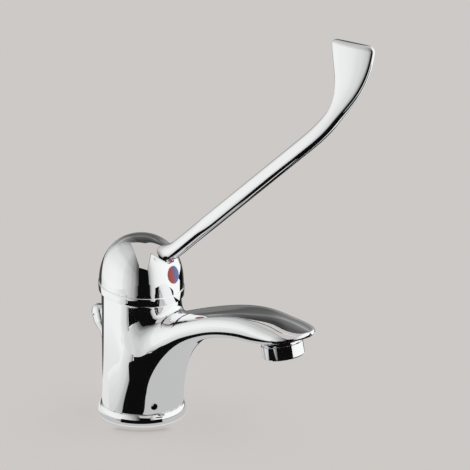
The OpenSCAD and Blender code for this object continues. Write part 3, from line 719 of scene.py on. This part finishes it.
def bar_rows():
    """The bar turns from round to squarer, and the blade from the bar's section to a wide thin one."""
    rows = []
    for s in np.linspace(SKIN_END, BAR_LEN, BAR_RINGS, endpoint=False):
        full = 2 + (BAR_FULL - 2) * ease((s - SKIN_END) / SQUARE_LEN)
        rows.append(lever_ring(START + s * BAR_DIR, BAR_DIR, BAR_R, BAR_R, full))
    near_tip = TIP_FROM + (1 - TIP_FROM) * np.sin(np.linspace(0, np.pi / 2, TIP_RINGS)[1:])
    for s in np.r_[np.linspace(0, TIP_FROM, BLADE_RINGS), near_tip]:
        at = curve(BLADE_LINE, s)
        along = curve(BLADE_LINE, min(1, s + 1e-4)) - curve(BLADE_LINE, max(0, s - 1e-4))
        widen, flatten = ease((s - WIDEN_FROM) / WIDEN_SPAN), ease(s / THIN_SPAN)
        depth = (2 * BAR_R + (BLADE_W - 2 * BAR_R) * widen) / 2
        half = (2 * BAR_R + (BLADE_T - 2 * BAR_R) * flatten) / 2
        left = np.linalg.norm(TIP_AT - at)
        thin = max(half - corner_inset(half, left), TIP_THIN)
        full = BAR_FULL + (BLADE_FULL - BAR_FULL) * flatten
        rows.append(lever_ring(at, along, depth - corner_inset(BLADE_CORNER, left), thin, full))
    return rows


p, faces = loft(bar_rows(), close_end=True)
make("lever_bar", p, faces, None, "lever", chrome)
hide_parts("lever_handle")


# Index disc: two halves and a rim that follow the dome

def on_dome(rho, turn, proud):
    """Points at a radius and a turn about the disc's middle, proud of the dome."""
    a = np.radians(turn)
    x, z = rho * np.cos(a), MARK_Z + rho * np.sin(a)
    r = DOME_R * (1 - ((z - SHOULDER_Z) / DOME_H) ** DOME_FULL) ** (1 / DOME_FULL) + proud
    return np.column_stack([x, -np.sqrt(r * r - x * x), z])


FACE_R = MARK_R - MARK_RIM
half_turn = np.linspace(-90, 90, 49)
for name, look, side in (("index_red", "red_plastic", 180), ("index_blue", "blue_plastic", 0)):
    rows = [on_dome(r, half_turn + side, FACE_PROUD) for r in np.linspace(0.01, FACE_R - FACE_EDGE, 20)]
    rows += [on_dome(FACE_R, half_turn + side, proud) for proud in (EDGE_PROUD, MARK_SINK)]
    p, faces = loft(rows, round_about=False)
    half_disc = make(name + "_face", p, faces, None, "lever", looks[look])
    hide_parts(name)
RIM_SECTION = [(FACE_R, MARK_SINK), (FACE_R + 0.02, 0.0), (FACE_R + 0.07, RIM_PROUD),
               (MARK_R - 0.05, RIM_PROUD), (MARK_R, 0.0), (MARK_R + 0.02, MARK_SINK)]
whole_turn = np.linspace(0, 360, 97)
p, faces = loft([on_dome(r, whole_turn, proud) for r, proud in RIM_SECTION], round_about=False)
index_rim = make("index_rim", p, faces, None, "lever", chrome)
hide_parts("index_plug")


# Camera: a long lens at the photo's angle, with the width that a pixel of the photo spans at the object.
# The stage from here on is in metres.

AZIMUTH = -54.0
ELEVATION = 18.7
DISTANCE = 2.0
SENSOR = 36.0
PHOTO_SIZE = 470
PIXEL = 0.546 * MM
TARGET = Vector((0, -0.06475, 0.1185))


def add_camera():
    turn, rise = math.radians(AZIMUTH), math.radians(ELEVATION)
    back = Vector((math.sin(turn) * math.cos(rise), -math.cos(turn) * math.cos(rise), math.sin(rise)))
    lens = bpy.data.cameras.new("camera")
    lens.sensor_width = SENSOR
    lens.lens = SENSOR * DISTANCE / (PHOTO_SIZE * PIXEL)
    lens.clip_end = 50.0
    camera = bpy.data.objects.new("camera", lens)
    scene.collection.objects.link(camera)
    camera.location = TARGET + back * DISTANCE
    camera.rotation_mode = "QUATERNION"
    camera.rotation_quaternion = (-back).to_track_quat("-Z", "Y")
    return camera


scene.camera = add_camera()
scene.view_settings.view_transform = "Standard"


# World: the plain backdrop to the camera and in metal, and soft white light on the object

BACKDROP = srgb(205, 201, 198)
WHITE = (1, 1, 1, 1)


def seen_or_lit(tree, output, seen, lit):
    """One look to the camera and in metal, and another as light on the object."""
    path = node(tree, "ShaderNodeLightPath")
    seen_by = path.outputs["Is Camera Ray"]
    for kind in ("Is Glossy Ray", "Is Transmission Ray"):
        either = node(tree, "ShaderNodeMath", operation="MAXIMUM")
        tree.links.new(seen_by, either.inputs[0])
        tree.links.new(path.outputs[kind], either.inputs[1])
        seen_by = either.outputs[0]
    mixer = node(tree, "ShaderNodeMixShader")
    tree.links.new(seen_by, mixer.inputs["Fac"])
    tree.links.new(lit.outputs[0], mixer.inputs[1])
    tree.links.new(seen.outputs[0], mixer.inputs[2])
    tree.links.new(mixer.outputs[0], output.inputs["Surface"])


def add_world():
    world = bpy.data.worlds.new("studio")
    world.use_nodes = True
    tree = world.node_tree
    tree.nodes.clear()
    seen_or_lit(tree, node(tree, "ShaderNodeOutputWorld"),
                node(tree, "ShaderNodeBackground", Color=BACKDROP, Strength=1.0),
                node(tree, "ShaderNodeBackground", Color=WHITE, Strength=0.55))
    return world


scene.world = add_world()


# Reflection cards

def ramp(tree, value, stops):
    """Grey that follows stops given as (place, grey)."""
    n = node(tree, "ShaderNodeValToRGB")
    n.color_ramp.interpolation = "EASE"
    while len(n.color_ramp.elements) < len(stops):
        n.color_ramp.elements.new(0.5)
    for stop, (place, grey) in zip(n.color_ramp.elements, stops):
        stop.position = place
        stop.color = (grey, grey, grey, 1)
    tree.links.new(value, n.inputs["Fac"])
    return n.outputs["Color"]


def gradient(tree, coords, kind):
    """Turn about the tower (RADIAL) or nearness to it (SPHERICAL), from 0 to 1."""
    n = node(tree, "ShaderNodeTexGradient", gradient_type=kind)
    tree.links.new(coords.outputs["Object"], n.inputs["Vector"])
    return n.outputs["Fac"]


SEAM_GREY = 0.7


def shading(tree, shades):
    """Product of ramps along a card's own axes, by azimuth (turn) or by distance from the tower (far)."""
    coords = node(tree, "ShaderNodeTexCoord")
    split = node(tree, "ShaderNodeSeparateXYZ")
    tree.links.new(coords.outputs["Generated"], split.inputs[0])
    value = None
    for axis, stops in shades.items():
        if axis == "turn":
            stops = sorted(((az / 360 + 0.25) % 1, grey) for az, grey in stops)
            stops = [(0, SEAM_GREY)] + stops + [(1, SEAM_GREY)]
            shade = ramp(tree, gradient(tree, coords, "RADIAL"), stops)
        elif axis == "far":
            stops = sorted((1 - r, grey) for r, grey in stops)
            shade = ramp(tree, gradient(tree, coords, "SPHERICAL"), stops)
        else:
            shade = ramp(tree, split.outputs[axis], stops)
        if value is not None:
            both = node(tree, "ShaderNodeMath", operation="MULTIPLY")
            tree.links.new(value, both.inputs[0])
            tree.links.new(shade, both.inputs[1])
            shade = both.outputs[0]
        value = shade
    return value


def blank_material(name):
    """A material with nothing but its output."""
    m = bpy.data.materials.new(name)
    m.use_nodes = True
    m.node_tree.nodes.clear()
    return m, m.node_tree, node(m.node_tree, "ShaderNodeOutputMaterial")


def card(name, points, faces, grey, shades):
    """A panel of one grey or of shades, which shows only in reflections and as light."""
    mesh = bpy.data.meshes.new(name)
    mesh.from_pydata(points, [], faces)
    m, tree, output = blank_material(name)
    glow = node(tree, "ShaderNodeEmission", Color=WHITE, Strength=grey)
    if shades:
        tree.links.new(shading(tree, shades), glow.inputs["Strength"])
    tree.links.new(glow.outputs[0], output.inputs["Surface"])
    mesh.materials.append(m)
    panel = bpy.data.objects.new(name, mesh)
    scene.collection.objects.link(panel)
    panel.visible_camera = False
    panel.visible_shadow = False
    return panel


def strip(name, low, high, grey=1.0, shades=None):
    """A card between two rows of points."""
    k = len(low)
    return card(name, low + high, [(i, i + 1, i + 1 + k, i + k) for i in range(k - 1)], grey, shades)


def wall(name, line, low, high, grey=1.0, shades=None):
    """An upright card over a line on the floor."""
    return strip(name, [(x, y, low) for x, y in line], [(x, y, high) for x, y in line], grey, shades)


def sheet(name, outline, z, grey=1.0, shades=None):
    """A card that lies on the floor and shows only in reflections."""
    flat = card(name, [(x, y, z) for x, y in outline], [tuple(range(len(outline)))], grey, shades)
    flat.visible_diffuse = False


def ray(az, r, centre=(0, 0)):
    """The point at an azimuth and a distance, with azimuth 0 in front of the spout."""
    return centre[0] + r * math.sin(math.radians(az)), centre[1] - r * math.cos(math.radians(az))


def arc(r, start, stop, step, centre=(0, 0)):
    """Points along a circle, between two azimuths."""
    return [ray(az, r, centre) for az in range(start, stop, step)]


BLACK = 0.004

# Two long soft boxes either side of a dark opening, and a dim wall behind
FRONT_LEFT = (-1.107, -0.639)
FRONT_RIGHT = (-0.916, -1.47)
BACK_LEFT = (0.36, 0.779)
BACK_RIGHT = (0.605, 0.0)
BOX_LOW = -0.05
BOX_TOP = 1.1
wall("card_left", [FRONT_LEFT, BACK_LEFT], BOX_LOW, BOX_TOP, shades={
    "X": [(0, 0.08), (0.14, 0.165), (0.333, 0.45), (0.426, 0.65), (0.485, 0.77),
          (0.53, 0.92), (0.6, 0.96), (0.75, 0.9), (0.9, 0.7), (1, 0.45)],
    "Z": [(0, 1), (0.15, 0.97), (0.3, 0.85), (0.45, 0.66), (0.93, 0.52), (1, 0.22)]})
wall("card_right", [FRONT_RIGHT, BACK_RIGHT], BOX_LOW, BOX_TOP, shades={
    "X": [(0, 0.3), (0.2, 0.5), (0.34, 0.68), (0.506, 0.88), (0.6, 0.95), (0.726, 1.01), (1, 1.01)],
    "Z": [(0, 1), (0.9, 0.95), (1, 0.1)]})
wall("card_front", [FRONT_LEFT, FRONT_RIGHT], BOX_LOW, 0.95, BLACK)
wall("card_back", [BACK_LEFT, BACK_RIGHT], 0.0, 1.3, shades={
    "X": [(0, 0.6), (0.28, 0.36), (0.4, 0.2), (0.64, 0.2), (0.78, 0.36), (1, 0.55)],
    "Z": [(0, 1), (0.105, 0.95), (0.163, 0.5), (0.242, 0.6), (0.32, 1),
          (0.405, 0.52), (0.47, 0.44), (0.654, 0.26), (1, 0.25)]})

# Heights of the sheets on the floor: where two overlap, the higher one shows
PAD_Z = 0.0001
HOLLOW_Z = 0.0003
AROUND_Z = 0.0005
FADE_Z = 0.0006
FLANK_Z = 0.0008
DARK_Z = 0.001
TOE_Z = 0.0012

# The floor further off changes with the azimuth, and the pad near the tower with the distance
PAD_R = 0.226
PAD_LAP = 0.001
FAR_R = 1.7
COMPASS = [(-180, 0.8), (-150, 0.92), (-135, 0.94), (-120, 0.88), (-108, 0.78), (-97, 0.7), (-86, 0.62),
           (-75, 0.45), (-64, 0.16), (-61, BLACK), (-31, BLACK), (-27, 0.5), (-22, 0.68), (-11, 0.88),
           (0, 0.95), (25, 1.0), (90, 1.0), (118, 0.7), (150, 0.7)]
outer, inner = ([(x, y, AROUND_Z) for x, y in arc(r, -180, 180, 10)] for r in (FAR_R, PAD_R - PAD_LAP))
far_floor = strip("card_around", outer + outer[:1], inner + inner[:1], shades={"turn": COMPASS})
far_floor.visible_diffuse = False
sheet("card_pad", arc(PAD_R, 0, 360, 10), PAD_Z, shades={
    "far": [(0.0, 0.8), (0.1, 0.82), (0.2, 0.93), (PAD_R, 0.94)]})

# Dark sheets left of the tower, under the spout and behind, which share borders, and grey ones between them
LEFT_BORDER = [(-0.072, -0.208), (-0.06, -0.072)]
REAR_BORDER = [(0.15, -0.04), (0.2, 0.01)]
REAR_CORNER = (0.15, 0.12)
FLANK_EDGE = 0.078
sheet("card_side", [
    (-0.215, -0.208), *LEFT_BORDER, (-0.0385, -0.042), (-0.0355, -0.037), (-0.034, -0.02), (-0.034, 0.006),
    (-0.08, 0.004), (-0.126, 0.017), (-0.145, 0.018), (-0.158, 0.008), (-0.17, -0.004), (-0.215, -0.002),
], DARK_Z, BLACK)
sheet("card_under", [
    (-0.042, -0.45), (0.15, -0.45), (0.15, -0.055), (0.3, -0.1), (0.5, -0.3), (0.5, 0.05),
    *REAR_BORDER[::-1], REAR_CORNER, (FLANK_EDGE, 0.12), (FLANK_EDGE, -0.072),
    *LEFT_BORDER[::-1], (-0.074, -0.24), (-0.042, -0.26),
], DARK_Z, BLACK)
sheet("card_flank", [
    (-0.11, -0.09), (FLANK_EDGE, -0.09), (FLANK_EDGE, 0.02), (-0.038, 0.02), (-0.05, -0.03),
], FLANK_Z, 0.55)
sheet("card_fade", [(-0.24, 0.0), (-0.03, 0.0), (-0.03, 0.08), (-0.24, 0.08)], FADE_Z, shades={
    "Y": [(0, 0.12), (0.13, 0.5), (0.31, 0.68), (0.55, 0.74), (0.75, 0.8), (1, 0.91)]})
sheet("card_rear", [
    *REAR_BORDER, ray(96, 0.6), ray(165, 0.82), ray(175, 0.3), ray(165, 0.06), ray(140, 0.1), REAR_CORNER,
], DARK_Z, 0.06)

# Small dark cards in the hollow foot, before the base ring and before the outlet; the one in the hollow foot
# is painted shade
TOE_R = 0.0295
# Black sheet under the hollow foot: painted shade on the floor there
sheet("card_hollow_shade", arc(0.0235, 0, 360, 15), HOLLOW_Z, 0.002)
wall("card_foot", arc(TOE_R, -86, -18, 8), 0.0, 0.005, BLACK)
toe_in, toe_out = ([(x, y, TOE_Z) for x, y in arc(r, -86, -18, 8)] for r in (0.027, TOE_R))
strip("card_toe", toe_in, toe_out, BLACK)
wall("card_outlet", arc(0.036, -82, -8, 12, (0, -0.098)), 0.042, 0.066, BLACK)


# Floor: takes the object's shadow close by, and runs into the plain backdrop further off

FLOOR_GREY = (0.42, 0.403, 0.389, 1)
FLOOR_HALF = 20
FLOOR_Z = -0.0005
SHADOW = 0.4
SHADOW_NEAR = 0.03
SHADOW_FAR = 0.13


def floor_material():
    m, tree, output = blank_material("floor")
    plain = node(tree, "ShaderNodeEmission", Color=BACKDROP, Strength=1.0)
    base = node(tree, "ShaderNodeEmission", Color=BACKDROP, Strength=1.0 - SHADOW)
    diffuse = node(tree, "ShaderNodeBsdfDiffuse", Color=FLOOR_GREY)
    shaded = node(tree, "ShaderNodeAddShader")
    tree.links.new(base.outputs[0], shaded.inputs[0])
    tree.links.new(diffuse.outputs[0], shaded.inputs[1])
    reach = gradient(tree, node(tree, "ShaderNodeTexCoord"), "SPHERICAL")
    both = node(tree, "ShaderNodeMixShader")
    tree.links.new(ramp(tree, reach, [(1 - SHADOW_FAR, 0.0), (1 - SHADOW_NEAR, 1.0)]), both.inputs["Fac"])
    tree.links.new(plain.outputs[0], both.inputs[1])
    tree.links.new(shaded.outputs[0], both.inputs[2])
    seen_or_lit(tree, output, both, node(tree, "ShaderNodeEmission", Color=WHITE, Strength=0.9))
    return m


mesh = bpy.data.meshes.new("floor")
corners = [(x * FLOOR_HALF, y * FLOOR_HALF, 0) for x, y in ((-1, -1), (1, -1), (1, 1), (-1, 1))]
mesh.from_pydata(corners, [], [(0, 1, 2, 3)])
mesh.materials.append(floor_material())
floor = bpy.data.objects.new("floor", mesh)
scene.collection.objects.link(floor)
floor.location.z = FLOOR_Z
